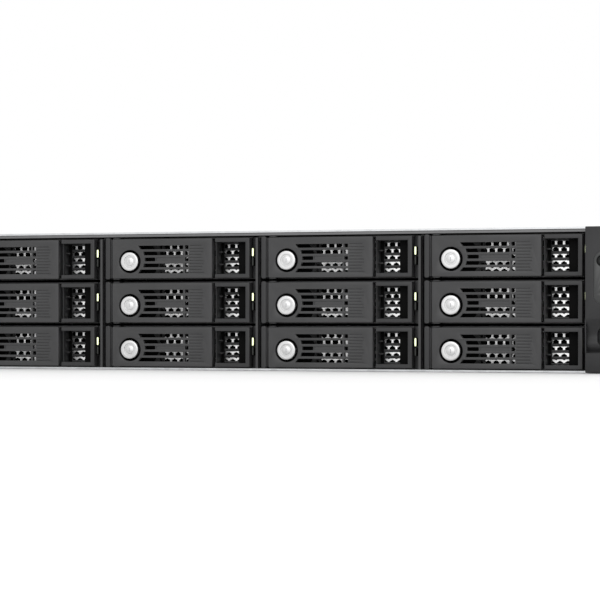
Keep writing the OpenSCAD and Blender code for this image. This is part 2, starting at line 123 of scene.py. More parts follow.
class Shape:
    """Collects closed solids, in millimetres, into one mesh with numbered materials."""

    def __init__(self):
        self.points, self.faces, self.numbers = [], [], []

    def ring(self, outline, depth, axis):
        a, b, c = PLANES[axis]
        first = len(self.points)
        for pa, pb in outline:
            point = [0.0, 0.0, 0.0]
            point[a], point[b], point[c] = pa, pb, depth
            self.points.append(point)
        return list(range(first, first + len(outline)))

    def band(self, one, two, mat):
        for k in range(len(one)):
            n = (k + 1) % len(one)
            self.face((one[k], one[n], two[n], two[k]), mat)

    def face(self, corners, mat):
        self.faces.append(corners)
        self.numbers.append(mat)

    def cap(self, rings, axis, mat):
        """Fills the first ring, leaving out the others."""
        if len(rings) == 1 and len(rings[0]) <= 4:
            self.face(tuple(rings[0]), mat)
            return
        a, b, _ = PLANES[axis]
        flat = [i for r in rings for i in r]
        loops = [[Vector((self.points[i][a], self.points[i][b], 0)) for i in r] for r in rings]
        for triangle in tessellate_polygon(loops):
            self.face(tuple(flat[i] for i in triangle), mat)

    def plate(self, outer, lo, hi, axis="y", holes=(), pits=(), edge=0.3, back=None, steps=2, mat=0):
        """A flat solid from its front at depth lo to hi, with rounded edges. A pit is (outline, depth)."""
        back = edge if back is None else back
        way = 1 if hi > lo else -1
        outer = outer if area(outer) > 0 else outer[::-1]
        through = [h[::-1] if area(h) > 0 else h for h in holes]
        turns = [math.pi / 2 * k / steps for k in range(steps + 1)] if edge > 0 else [math.pi / 2]
        backs = [math.pi / 2 * k / steps for k in range(steps + 1)] if back > 0 else [math.pi / 2]
        levels = [(lo + way * edge * (1 - math.cos(t)), edge * (1 - math.sin(t))) for t in turns]
        levels += [(hi - way * back * (1 - math.cos(t)), back * (1 - math.sin(t))) for t in reversed(backs)]
        fronts, ends = [], []
        for loop in [outer] + through:
            rings = [self.ring(shifted(loop, grow), depth, axis) for depth, grow in levels]
            for one, two in zip(rings, rings[1:]):
                self.band(one, two, mat)
            fronts.append(rings[0])
            ends.append(rings[-1])
        for loop, depth in pits:
            loop = loop[::-1] if area(loop) > 0 else loop
            rings = [self.ring(shifted(loop, edge * (1 - math.sin(t))), lo + way * edge * (1 - math.cos(t)), axis)
                     for t in turns if edge * (1 - math.cos(t)) < depth]
            rings.append(self.ring(loop, lo + way * depth, axis))
            for one, two in zip(rings, rings[1:]):
                self.band(one, two, mat)
            fronts.append(rings[0])
            self.cap([rings[-1]], axis, mat)
        self.cap(fronts, axis, mat)
        self.cap(ends, axis, mat)

    def block(self, low, high, r=0.3, mat=0, steps=2):
        """A box with rounded edges."""
        self.plate(rect(low[0], low[2], high[0], high[2], r, steps), low[1], high[1], edge=r, steps=steps, mat=mat)

    def lathe(self, profile, centre, axis="y", sides=32, mat=0, closed=False):
        """Turns (radius, place along the axis) points about an axis through centre."""
        a, b, c = PLANES[axis]
        rings = []
        for radius, along in profile:
            if radius < 1e-6:
                point = [0.0, 0.0, 0.0]
                point[a], point[b], point[c] = centre[a], centre[b], centre[c] + along
                self.points.append(point)
                rings.append([len(self.points) - 1])
            else:
                rings.append(self.ring(circle(centre[a], centre[b], radius, sides), centre[c] + along, axis))
        pairs = list(zip(rings, rings[1:])) + ([(rings[-1], rings[0])] if closed else [])
        for one, two in pairs:
            if len(one) == 1 or len(two) == 1:
                tip, rim = (one[0], two) if len(one) == 1 else (two[0], one)
                for k in range(len(rim)):
                    self.face((tip, rim[k], rim[(k + 1) % len(rim)]), mat)
            else:
                self.band(one, two, mat)

    def rod(self, start, length, r, axis="y", sides=24, edge=0.2, mat=0):
        """A round bar from start along an axis, with chamfered ends."""
        profile = [(0, 0), (r - edge, 0), (r, edge), (r, length - edge), (r - edge, length), (0, length)]
        self.lathe(profile, start, axis, sides, mat)

    def ring_solid(self, centre, r0, r1, length, axis="y", sides=40, edge=0.2, mat=0):
        """A round ring with chamfered edges."""
        profile = [(r0 + edge, 0), (r1 - edge, 0), (r1, edge), (r1, length - edge),
                   (r1 - edge, length), (r0 + edge, length), (r0, length - edge), (r0, edge)]
        self.lathe(profile, centre, axis, sides, mat, closed=True)

    def tube(self, path, r, sides=10, mat=0):
        """A round wire along a path of points."""
        path = [Vector(p) for p in path]
        side = None
        rings = []
        for k, here in enumerate(path):
            ahead = (path[min(k + 1, len(path) - 1)] - path[max(k - 1, 0)]).normalized()
            if side is None:
                side = ahead.orthogonal().normalized()
            side = (side - ahead * side.dot(ahead)).normalized()
            up = ahead.cross(side)
            first = len(self.points)
            for i in range(sides):
                t = 2 * math.pi * i / sides
                self.points.append(list(here + side * (r * math.cos(t)) + up * (r * math.sin(t))))
            rings.append(list(range(first, first + sides)))
        for one, two in zip(rings, rings[1:]):
            self.band(one, two, mat)
        self.face(tuple(rings[0]), mat)
        self.face(tuple(rings[-1]), mat)

    def mesh(self, name, materials, sharp=32):
        made = bpy.data.meshes.new(name)
        made.from_pydata([[v * MM for v in p] for p in self.points], [], self.faces)
        for m in materials:
            made.materials.append(m)
        made.polygons.foreach_set("material_index", self.numbers)
        work = bmesh.new()
        work.from_mesh(made)
        bmesh.ops.recalc_face_normals(work, faces=work.faces)
        work.to_mesh(made)
        work.free()
        made.shade_smooth()
        made.set_sharp_from_angle(angle=math.radians(sharp))
        return made


def place(name, mesh, body, slot, at=(0, 0, 0), replaced=()):
    """Puts a mesh at a point, in metres, on a body of the frame."""
    piece = bpy.data.objects.new(name, mesh)
    bpy.context.scene.collection.objects.link(piece)
    piece.location = at
    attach(piece, body)
    if replaced:
        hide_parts(*replaced)
    return piece


# ---------- Materials ----------


class Nodes:
    """A small helper that adds and links shader nodes."""

    def __init__(self, name):
        self.material = bpy.data.materials.new(name)
        self.material.use_nodes = True
        self.tree = self.material.node_tree
        self.shader = self.tree.nodes["Principled BSDF"]
        self.place = self.add("ShaderNodeTexCoord").outputs["Object"]

    def add(self, kind, **values):
        node = self.tree.nodes.new(kind)
        for key, value in values.items():
            setattr(node, key, value)
        return node

    def link(self, out, socket):
        self.tree.links.new(out, socket)

    def scaled(self, factors):
        node = self.add("ShaderNodeVectorMath", operation="MULTIPLY")
        self.link(self.place, node.inputs[0])
        node.inputs[1].default_value = factors
        return node.outputs[0]

    def noise(self, scale, detail=2.0, place=None):
        node = self.add("ShaderNodeTexNoise")
        node.inputs["Scale"].default_value = scale
        node.inputs["Detail"].default_value = detail
        self.link(place or self.place, node.inputs["Vector"])
        return node.outputs["Fac"]

    def cells(self, scale):
        node = self.add("ShaderNodeTexVoronoi")
        node.inputs["Scale"].default_value = scale
        self.link(self.place, node.inputs["Vector"])
        grey = self.add("ShaderNodeSeparateColor")
        self.link(node.outputs["Color"], grey.inputs[0])
        return grey.outputs[0]

    def spread(self, value, low, high, start=0.3, end=0.7):
        """Maps value from start..end to low..high."""
        node = self.add("ShaderNodeMapRange")
        self.link(value, node.inputs["Value"])
        for socket, number in zip(("From Min", "From Max", "To Min", "To Max"), (start, end, low, high)):
            node.inputs[socket].default_value = number
        return node.outputs[0]

    def tint(self, value, dark, light):
        node = self.add("ShaderNodeMix", data_type="RGBA")
        self.link(value, node.inputs[0])
        node.inputs[6].default_value = (*dark, 1)
        node.inputs[7].default_value = (*light, 1)
        return node.outputs[2]

    def bump(self, height, distance, strength=1.0):
        node = self.add("ShaderNodeBump")
        node.inputs["Strength"].default_value = strength
        node.inputs["Distance"].default_value = distance
        self.link(height, node.inputs["Height"])
        if self.shader.inputs["Normal"].is_linked:
            self.link(self.shader.inputs["Normal"].links[0].from_socket, node.inputs["Normal"])
        self.link(node.outputs[0], self.shader.inputs["Normal"])


def times(colour, factor):
    return tuple(min(1.0, c * factor) for c in colour)


def plastic(name, colour, rough=0.42, grain=2200, depth=0.00003, mottle=0.12, gloss=0.3):
    """Moulded plastic: fine spark-eroded grain, faint tone changes and worn-smooth patches."""
    n = Nodes(name)
    n.shader.inputs["Specular IOR Level"].default_value = gloss
    n.link(n.tint(n.spread(n.noise(38, 3), 0, 1), times(colour, 1 - mottle), times(colour, 1 + mottle)),
           n.shader.inputs["Base Color"])
    n.link(n.spread(n.noise(55, 4), rough - 0.05, rough + 0.07), n.shader.inputs["Roughness"])
    n.bump(n.noise(grain, 1), depth)
    return n.material


def steel(name, colour, rough=0.34, spangle=0.0, cell=160, streak=(), metallic=1.0, depth=0.00001):
    """Sheet metal: zinc spangle, rolling or brushing streaks, and slight waviness."""
    n = Nodes(name)
    tone = n.noise(30, 4)
    if spangle:
        tone = n.cells(cell)
    if streak:
        tone = n.noise(1, 3, n.scaled(streak))
    share = spangle or 0.1
    n.link(n.tint(n.spread(tone, 0, 1, 0.1, 0.9), times(colour, 1 - share), times(colour, 1 + share * 0.5)),
           n.shader.inputs["Base Color"])
    n.link(n.spread(tone, rough - 0.06, rough + 0.08, 0.1, 0.9), n.shader.inputs["Roughness"])
    n.shader.inputs["Metallic"].default_value = metallic
    n.bump(n.noise(420, 3), depth)
    return n.material


def paint(name, colour, rough=0.45, peel=1500, depth=0.00004):
    """Powder coat with an orange-peel surface."""
    n = Nodes(name)
    n.link(n.tint(n.spread(n.noise(24, 4), 0, 1), times(colour, 0.9), times(colour, 1.1)),
           n.shader.inputs["Base Color"])
    n.link(n.spread(n.noise(90, 3), rough - 0.05, rough + 0.06), n.shader.inputs["Roughness"])
    n.bump(n.noise(peel, 2), depth)
    return n.material


def lens(name, colour, glow=0.0, rough=0.2):
    """Light pipe or indicator lens, lit from behind where glow is given."""
    n = Nodes(name)
    tone = n.spread(n.noise(260, 2), 0, 1)
    tinted = n.tint(tone, times(colour, 0.85), colour)
    n.link(tinted, n.shader.inputs["Base Color"])
    n.shader.inputs["Roughness"].default_value = rough
    if glow:
        n.link(tinted, n.shader.inputs["Emission Color"])
        n.shader.inputs["Emission Strength"].default_value = glow
    return n.material


LEVER_GREY = plastic("lever_grey", (0.043, 0.043, 0.044), 0.36)
TRAY_BLACK = plastic("tray_black", (0.029, 0.029, 0.03), 0.42)
# Near-black plastic used as painted shade: it colours plates and pieces in recesses and behind other parts, where only
# shadow shows.
TRAY_PAINTED_SHADE = plastic("tray_painted_shade", (0.004, 0.004, 0.004), 0.7, gloss=0.04)
EAR_GREY = plastic("ear_grey", (0.021, 0.021, 0.022), 0.42, 1800)
# Zinc much brighter than the other zinc: partly real metal reflection, partly painted light on the sheet deep behind
# the fascia.
SHEET_PAINTED_BRIGHT = steel("sheet_painted_bright", (0.93, 0.93, 0.93), 0.3, 0.05, 300)
ZINC = steel("zinc", (0.56, 0.57, 0.58), 0.36, 0.07, 260)
LOCK_SILVER = steel("lock_silver", (0.66, 0.66, 0.66), 0.42, streak=(900, 900, 900))
LOCK_DARK = steel("lock_dark", (0.42, 0.42, 0.43), 0.4)
RAIL_GREY = paint("rail_grey", (0.12, 0.12, 0.122), 0.35)
CAGE_DARK = paint("cage_dark", (0.03, 0.03, 0.031))
ZINC_SHEET = steel("zinc_sheet", (0.6, 0.61, 0.62), 0.38, 0.05, 220)
SCREW_ZINC = steel("screw_zinc", (0.6, 0.6, 0.62), 0.3, streak=(400, 400, 400))
BLACK_STEEL = steel("black_steel", (0.05, 0.05, 0.053), 0.38)
BUTTON_BLACK = plastic("button_black", (0.007, 0.007, 0.007), 0.5, gloss=0.15)
MARK_GREY = paint("mark_grey", (0.05, 0.05, 0.05))
LIGHT_GREEN = lens("light_green", (0.05, 0.12, 0.06))
LIGHT_TEAL = lens("light_teal", (0.04, 0.09, 0.1))
LIGHT_RED = lens("light_red", (0.2, 0.05, 0.05))
PANEL_GREY = plastic("panel_grey", (0.03, 0.031, 0.031), 0.3, gloss=0.4)
LIGHT_AMBER = lens("light_amber", (0.5, 0.28, 0.05))
CAST_GREY = steel("cast_grey", (0.42, 0.43, 0.44), 0.5, depth=0.00004)
ALUMINIUM = steel("aluminium", (0.72, 0.73, 0.74), 0.32, streak=(1200, 40, 40))
TINNED = steel("tinned", (0.62, 0.62, 0.61), 0.28)
GOLD = steel("gold", (0.78, 0.58, 0.24), 0.3)
LABEL_PALE = plastic("label_pale", (0.62, 0.62, 0.6), 0.5)
BOARD_GREEN = plastic("board_green", (0.012, 0.075, 0.03), 0.35, 900, mottle=0.35, gloss=0.5)
CHIP_BLACK = plastic("chip_black", (0.012, 0.012, 0.013), 0.45)
CERAMIC = plastic("ceramic", (0.3, 0.22, 0.14), 0.5)
SOCKET_PALE = plastic("socket_pale", (0.55, 0.54, 0.48), 0.45)
SOCKET_BLUE = plastic("socket_blue", (0.01, 0.05, 0.35), 0.4)
FAN_BLACK = plastic("fan_black", (0.016, 0.016, 0.018), 0.4)
HANDLE_BLACK = plastic("handle_black", (0.012, 0.012, 0.013), 0.38)
PIPE_LIT = lens("pipe_lit", (0.93, 1.0, 0.62), 0.75)
PIPE_DIM = lens("pipe_dim", (0.008, 0.009, 0.007), 0.0, 0.6)


# ---------- Drive trays ----------

TRAY_SIDE = 0.4          # of a tray's box, left of its own origin
TRAY_FOOT = -0.7
LEVER_W = (0.0, 25.15)
LEVER_U = (6.6, 75.1)
SLOT_PITCH = 3.83
SLOT_LOW = 4.38
SLOT_HALF = 1.15
LOCK_AT = (18.65, 10.8)
SLOT_ARC = (19.2, 12.04, 9.8)      # the slots end on this circle
PIVOT = (9.0, 2.5)
MESH_D = 16.5
POCKET = (76.4, 2.5, 97.7, 22.65)
BLOCK_U = 90.6
PIPE_U = 101.7
PIPE_W = (13.6, 7.6)


def bay_origin(bay):
    low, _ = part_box("drive_tray_" + bay)
    return low.x - TRAY_SIDE * MM, low.y, low.z - TRAY_FOOT * MM


def fascia_mesh():
    s = Shape()
    # Frame behind the lever and round the pocket
    s.plate(rect(0.5, TRAY_FOOT, 100.4, 26.05, 0.4), 5.6, 16.4, edge=0.3,
            holes=[rect(5.3, 0.4, 75.3, 24.75), rect(76.4, 2.5, 97.7, 22.65)])
    s.block((100.3, 6.8, TRAY_FOOT), (103.5, 16.4, 26.05), 0.4)
    # Left strip
    s.plate(rect(1.6, -0.6, 4.8, 25.95, 1.1, 4), 0.3, 6.4, edge=0.4, steps=3)
    s.block((4.5, 1.2, 0.2), (5.52, 6.4, 25.1), 0.15)
    # Frame round the finger pocket, open to the left
    _, w0, u1, w1 = POCKET
    s.plate([(77.1, 0), (100.4, 0), (100.4, 25.15), (77.1, 25.15), (77.1, w1), (u1, w1), (u1, w0), (77.1, w0)],
            0, 6.9, edge=0.35, steps=3)
    # Block at the right of the pocket, near-black as painted shade inside the pocket
    s.plate(rect(BLOCK_U, w0 - 0.1, u1 + 0.1, w1 + 0.1, 0.5), 6.9, 16.4, edge=0.5, mat=1)
    # Louvres in front of the perforated sheet
    slots = [rect(78.3, 3.6 + k * 3.95, 90.3, 5.8 + k * 3.95, 0.3, 2) for k in range(5)]
    s.plate(rect(76.2, w0 - 0.1, BLOCK_U + 0.1, w1 + 0.1), 14.6, 16.4, holes=slots, edge=0.45)
    # Near-black strip at the left of the louvres: painted shade
    s.block((76.3, 14.2, w0), (78.2, 14.7, w1), 0.1, 1)
    for w in (8.3, 16.2):
        s.block((76.2, 9, w), (78.9, 10.6, w + 0.8), 0.15)
    # Hinge lugs and pins
    for w in (TRAY_FOOT, 25.45):
        s.plate(rect(6.6, 0.4, 11.6, 6, 1.4, 4), w, w + 0.6, "z", edge=0.1)
    for w in (-0.4, 22.0):
        s.rod((PIVOT[0], PIVOT[1], w), 3.5, 1.0, "z", 16, 0.1)
    # Shield behind the lock and a rib behind the middle slots; the near-black arc-shaped plate and the small near-black
    # plates in front of the sheet's web are painted shade behind the lock
    s.block((5.2, 14.6, 0.2), (33.6, 16.4, 24.9), 0.2)
    s.plate([(7.0, 0.6), (26.3, 0.6), (30.4, 4.0), (32.6, 8.6), (32.6, 14.2), (30.4, 19.0), (26.3, 23.4),
             (7.0, 23.4)], 14.05, 14.7, edge=0.1, mat=1)
    s.block((33.4, 15.7, 0.2), (36.3, 16.4, 24.9), 0.1)
    for row in range(5):
        w = 2.95 + row * 4.33
        s.plate(hexagon(34.9, w, 1.5) if row % 2 else rect(33.6, w - 1.3, 34.7, w + 1.3, 0.2), 15.62, 15.75,
                edge=0.03, mat=1)
    return s.mesh("fascia", [TRAY_BLACK, TRAY_PAINTED_SHADE])


def perforated_mesh():
    """Sheet behind the fascia, with hexagonal holes in staggered rows; its zinc is brighter than the other zinc: partly
    real metal reflection, partly painted light deep behind the fascia.
    """
    s = Shape()
    holes = []
    for row in range(5):
        for k in range(18):
            u = 8 + 5 * k + 2.5 * (row % 2)
            if u < 98:
                holes.append(hexagon(u, 2.95 + row * 4.33, 2.0))
    s.plate(rect(1.4, 0.2, 101.0, 24.8, 0.6), MESH_D, MESH_D + 0.8, holes=holes, edge=0.12, steps=1)
    return s.mesh("perforated", [SHEET_PAINTED_BRIGHT])


def pipe_mesh():
    s = Shape()
    for k, w in enumerate(PIPE_W):
        s.plate(rect(PIPE_U + 0.1, w, PIPE_U + 1.1, w + 5, 0.45, 3), 0.9, 1.7, edge=0.2, mat=k)
        # Near-black sleeve behind each lens tip: painted shade on the sides of the pipe
        s.plate(rect(PIPE_U, w - 0.1, PIPE_U + 1.2, w + 5.1, 0.5, 3), 1.4, 20.5, edge=0.2, mat=2)
    return s.mesh("pipes", [PIPE_LIT, PIPE_DIM, TRAY_PAINTED_SHADE])


def lever_slots():
    """Air slots; the first of each row ends on a circle round the lock."""
    slots = []
    for row in range(5):
        w = SLOT_LOW + row * SLOT_PITCH
        low, high = w - SLOT_HALF, w + SLOT_HALF
        u, across, r = SLOT_ARC
        deep = math.sqrt(r * r - (w - across) ** 2)
        tilt = 0.7 * (w - across) / deep
        end = 36.2 if row == 2 else 55.4
        slots.append([(u + deep + tilt, low), (end - 0.3, low), (end, low + 0.3), (end, high - 0.3),
                      (end - 0.3, high), (u + deep - tilt, high)])
        slots.append(rect(56.7, low, 59.0, high, 0.3, 2))
    return slots


def lever_mesh():
    s = Shape()
    grooves = []
    for k in range(10):
        w = SLOT_LOW - SLOT_HALF + k * SLOT_PITCH / 2
        grooves.append((rect(59.9, w - 0.02, 69.4 - (k % 4 in (1, 2)) * 1.2, w + 0.42, 0.1, 1), 0.45))
    middle = SLOT_LOW + 2 * SLOT_PITCH
    grooves.append((rect(36.9, middle - SLOT_HALF, 55.4, middle + SLOT_HALF, 0.3, 2), 0.5))
    recess = circle(*LOCK_AT, 7.45, 48)
    s.plate(rect(LEVER_U[0], LEVER_W[0], LEVER_U[1], LEVER_W[1], 0.5), 0, 3, holes=lever_slots() + [recess],
            pits=grooves, edge=0.22)
    # Lock boss, with the floor of its recess, in near-black: painted shade in the recess
    s.ring_solid((LOCK_AT[0], 2.9, LOCK_AT[1]), 7.35, 8.5, 9, edge=0.15, mat=1)
    s.ring_solid((LOCK_AT[0], 5.5, LOCK_AT[1]), 5.1, 7.6, 6.3, edge=0.1, mat=1)
    # Knuckle, latch rib and stiffening ribs behind the plate
    turn = [math.radians(a) for a in range(133, 271, 8)]
    s.plate([(LEVER_U[0] + 0.4, 0.25)] + [(PIVOT[0] + 3.4 * math.cos(t), PIVOT[1] - 3.4 * math.sin(t)) for t in turn]
            + [(PIVOT[0], 2.5)], 0.3, 24.85, "z", edge=0.15)
    s.rod((PIVOT[0], PIVOT[1], 0.3), 24.55, 2.45, "z", 32, 0.3)
    s.block((73, 2.8, 1), (74.5, 7.9, 24.15), 0.3)
    for w in (0.8, 23.35):
        s.block((14, 2.8, w), (73.5, 5.9, w + 1), 0.25)
    return s.mesh("lever", [LEVER_GREY, TRAY_PAINTED_SHADE])


def lock_mesh():
    s = Shape()
    u, w = LOCK_AT
    face = [(5.0, 12.2), (5.0, 1.0), (5.7, 0.95), (5.95, 0.6), (5.95, -0.5), (5.8, -0.75), (5.5, -0.9),
            (4.9, -0.95), (3.9, -0.92), (3.6, -0.7), (3.5, -0.45), (2.9, -0.45), (2.7, -0.65), (2.4, -0.8),
            (0, -0.84)]
    s.lathe([(0, 12.2)] + face, (u, 0, w), "y", 48)
    s.block((u - 0.3, -0.87, w - 1.2), (u + 0.3, -0.6, w + 1.2), 0.1, 3)
    s.block((u - 2.4, 12.3, w - 2.4), (u + 2.4, 13.7, w + 9.4), 0.3, 2)
    return s.mesh("lock", [LOCK_SILVER, TRAY_PAINTED_SHADE, ZINC, LOCK_DARK])


def build_bays():
    fascia, sheet, pipes, lever, lock = (
        fascia_mesh(), perforated_mesh(), pipe_mesh(), lever_mesh(), lock_mesh())
    for bay in BAYS:
        at = bay_origin(bay)
        tray = "tray_" + bay
        place("tray_fascia_" + bay, fascia, tray, "tray_plastic", at, ["drive_tray_" + bay])
        place("tray_sheet_" + bay, sheet, tray, "psu_steel", at)
        place("light_pipes_" + bay, pipes, tray, "light_lens", at)
        place("lever_plate_" + bay, lever, "lever_" + bay, "lever_plastic", at, ["tray_lever_" + bay])
        place("lock_plug_" + bay, lock, "lock_" + bay, "lock_metal", at, ["tray_lock_" + bay])


# ---------- Sheet metal kept from the design ----------


def dress(node, material, rounding=0.25):
    """Gives a node of the design its material and small rounded edges."""
    shown = bpy.data.objects[node]
    shown.data.materials.clear()
    shown.data.materials.append(material)
    weld = shown.modifiers.new("weld", "WELD")
    weld.merge_threshold = 0.00001
    flat = shown.modifiers.new("flat", "DECIMATE")
    flat.decimate_type = "DISSOLVE"
    flat.angle_limit = math.radians(1)
    if rounding:
        soft = shown.modifiers.new("soft", "BEVEL")
        soft.width = rounding * MM
        soft.segments = 2
        soft.limit_method = "ANGLE"
        soft.angle_limit = math.radians(50)


def top_rail_mesh():
    """Rounded front of the rail over the top trays."""
    s = Shape()
    s.plate([(-254.25, 85.0), (-252.6, 85.0), (-252.6, 86.7), (-253.5, 86.7), (-253.9, 86.55), (-254.15, 86.25),
             (-254.25, 85.8)], -211.8, 211.8, "x", edge=0.1, steps=1)
    return s.mesh("top_rail", [RAIL_GREY])


def divider_shade_strip_mesh():
    """Near-black strip down the right edge of each inner divider's front: painted shade on the divider's side."""
    s = Shape()
    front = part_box("drive_cage")[0].y / MM
    for bay in BAYS[1:4]:
        edge = bay_origin(bay)[0] / MM
        s.block((edge - 0.8, front - 0.15, 1.5), (edge - 0.05, front + 0.4, 83.4), 0.1)
    return s.mesh("divider_shade_strips", [TRAY_PAINTED_SHADE])


def dress_sheet_metal():
    place("top_rail_front", top_rail_mesh(), "chassis", "cage_steel")
    place("divider_gaskets", divider_shade_strip_mesh(), "chassis", "cage_steel")
    dress("chassis_base", ZINC)
    dress("drive_cage", CAGE_DARK, 0.3)
    dress("front_cover", ZINC_SHEET)
    dress("rear_cover", ZINC_SHEET)


# ---------- Screws ----------


def screw_head(s, at, front, back, r, axis="y", mat=0):
    """A round head with a hexagon socket, seen from its front."""
    s.plate(circle(*at, r, 28), front, back, axis, pits=[(hexagon(*at, r * 0.46), abs(front - back) * 0.6)],
            edge=min(0.3, abs(front - back) * 0.4), back=0.05, mat=mat)


# ---------- Rack ears ----------

EAR_X = (212.0, 241.3)
EAR_Y = -266.0
RACK_AT = (232.55, 21.8)
BUTTON_AT = (222.3, 67.1)
LIGHT_X = 222.3
LIGHT_Z = (47.9, 53.2, 58.6)
PANEL = (217.1, 41.4, 227.5, 72.6)
SCREW_POCKET = (218.6, 15.9, 238.9, 27.7)
# Height and depth of the finger scoop, whose lower lip rolls under above the foot
SCOOP = [(33.0, 0.0), (32.5, 0.1), (32.0, 0.32), (31.0, 0.85), (30.0, 1.4), (29.0, 1.93), (28.0, 2.42), (27.0, 2.86),
         (26.0, 3.25), (25.0, 3.58), (24.0, 3.83), (23.2, 3.95), (22.5, 4.0), (21.8, 3.95), (21.0, 3.8), (20.2, 3.56),
         (19.4, 3.3), (18.6, 3.1), (17.8, 3.0), (17.0, 3.02), (16.2, 3.18), (15.4, 3.45), (14.6, 3.82), (13.9, 4.22),
         (13.3, 4.6), (12.8, 4.9)]


def ear_outline():
    """Side view of an ear as (y, z): rounded top, flat front, finger scoop and a step near the foot."""
    points = [(-265.4, 0.3), (-255.45, 0.3), (-255.45, 87.7)]
    points += [(EAR_Y + 1 + math.cos(math.radians(a)), 86.7 + math.sin(math.radians(a))) for a in range(90, 181, 15)]
    points += [(EAR_Y + depth, z) for z, depth in SCOOP]
    points += [(EAR_Y + 4.9, 12.15), (EAR_Y + 0.35, 12.15), (EAR_Y, 11.8), (EAR_Y, 0.9), (EAR_Y + 0.18, 0.48)]
    return points


def carved(body, tools, name, material):
    """Cuts one closed shape out of another."""
    made = []
    for shape in (body, tools):
        made.append(bpy.data.objects.new(name, shape.mesh(name, [material])))
        bpy.context.scene.collection.objects.link(made[-1])
    cut = made[0].modifiers.new("cut", "BOOLEAN")
    cut.operation, cut.solver, cut.object, cut.use_self = "DIFFERENCE", "EXACT", made[1], True
    graph = bpy.context.evaluated_depsgraph_get()
    result = bpy.data.meshes.new_from_object(made[0].evaluated_get(graph))
    for one in made:
        old = one.data
        bpy.data.objects.remove(one)
        bpy.data.meshes.remove(old)
    result.name = name
    result.shade_smooth()
    result.set_sharp_from_angle(angle=math.radians(32))
    return result


def ear_mesh(side, with_button):
    body = Shape()
    body.plate(ear_outline(), side * EAR_X[0], side * EAR_X[1], "x", edge=0.3, steps=3)
    # Side wall that closes the inner end of the scoop
    wall = Shape()
    wall.plate([(EAR_Y + 1, 12.3), (-255.6, 12.3), (-255.6, 33), (EAR_Y + 0.6, 33)],
               side * 211.6, side * 212.5, "x", edge=0.35, steps=3)
    tools = Shape()
    low, high = sorted((side * SCREW_POCKET[0], side * SCREW_POCKET[2]))
    tools.plate(rect(low, SCREW_POCKET[1], high, SCREW_POCKET[3], 4.4, 8), EAR_Y - 1, EAR_Y + 8.5, edge=0)
    bores = [(side * RACK_AT[0], RACK_AT[1], 5.9, 11.5, 0.0)]
    if with_button:
        bores.append((BUTTON_AT[0], BUTTON_AT[1], 3.4, 6.5, 0.3))
        tools.plate(rect(*PANEL, 5.2, 10), EAR_Y - 1, EAR_Y + 0.35, edge=0)
    for x, z, r, depth, flare in bores:
        tools.lathe([(0, -1), (r + flare + 0.05, -1), (r + flare, 0), (r, flare), (r, depth), (0, depth)],
                    (x, EAR_Y, z), "y", 64)
    front = carved(body, tools, "ear", EAR_GREY)
    joined = bmesh.new()
    joined.from_mesh(front)
    joined.from_mesh(wall.mesh("ear_wall", [EAR_GREY]))
    joined.to_mesh(front)
    joined.free()
    return front


def ear_back_mesh(side):
    """Block, steel flange and fold-back behind an ear."""
    s = Shape()
    x0, x1 = sorted((side * 216.15, side * 241.1))
    rack = circle(side * RACK_AT[0], RACK_AT[1], 2.8)
    s.plate(rect(x0, 0.5, x1, 87.5, 0.5), -255.6, -243.05, holes=[circle(side * RACK_AT[0], RACK_AT[1], 5.9)])
    s.plate(rect(min(side * 216.05, side * 241.2), 0.6, max(side * 216.05, side * 241.2), 87.4, 1.5), -243, -240.05,
            holes=[rack], edge=0.25, mat=1)
    x0, x1 = sorted((side * 216.05, side * 217.55))
    s.plate(rect(-240.4, 4.1, -184.1, 83.9, 3, 4), x0, x1, "x", edge=0.2, mat=1)
    return s.mesh("ear_back", [EAR_GREY, ZINC])


def rack_screw_mesh():
    """Captive thumb screw: knurled slotted head, neck and thread, from the ear's front."""
    s = Shape()
    knurl = [((5.5 - 0.32 * (k % 2)) * math.cos(math.pi * k / 30), (5.5 - 0.32 * (k % 2)) * math.sin(math.pi * k / 30))
             for k in range(60)]
    s.plate(knurl, 1.5, 10.4, pits=[(rect(-3.5, -0.6, 3.5, 0.6), 1.2)], edge=0.5, steps=2)
    s.rod((0, 10.2, 0), 16.4, 2.1, sides=24, edge=0.1)
    thread = [(0, 26.4), (2.1, 26.4)]
    for k in range(10):
        thread += [(2.46, 26.8 + 0.8 * k), (2.08, 27.2 + 0.8 * k)]
    s.lathe(thread + [(1.8, 35.3), (0, 35.3)], (0, 0, 0), "y", 28)
    return s.mesh("rack_screw", [BLACK_STEEL], 40)


def button_mesh():
    """Power button with a sunk standby mark."""
    s = Shape()
    x, z = BUTTON_AT
    y = EAR_Y - 0.6
    s.lathe([(0, 8.6), (2.15, 8.6), (2.15, 4.6), (2.95, 4.6), (2.95, 0.5), (2.85, 0.2), (2.6, 0.04), (2.3, 0.02),
             (1.9, 0.08), (1.2, 0.16), (0, 0.18)], (x, y, z), "y", 48)
    arc = [math.radians(60 - 15 * k) for k in range(21)]
    s.tube([(x + 1.2 * math.cos(t), y + 0.2, z + 1.2 * math.sin(t)) for t in arc], 0.12, 8, 1)
    s.tube([(x, y + 0.2, z + 0.4), (x, y + 0.2, z + 1.6)], 0.12, 8, 1)
    return s.mesh("button", [BUTTON_BLACK, MARK_GREY])


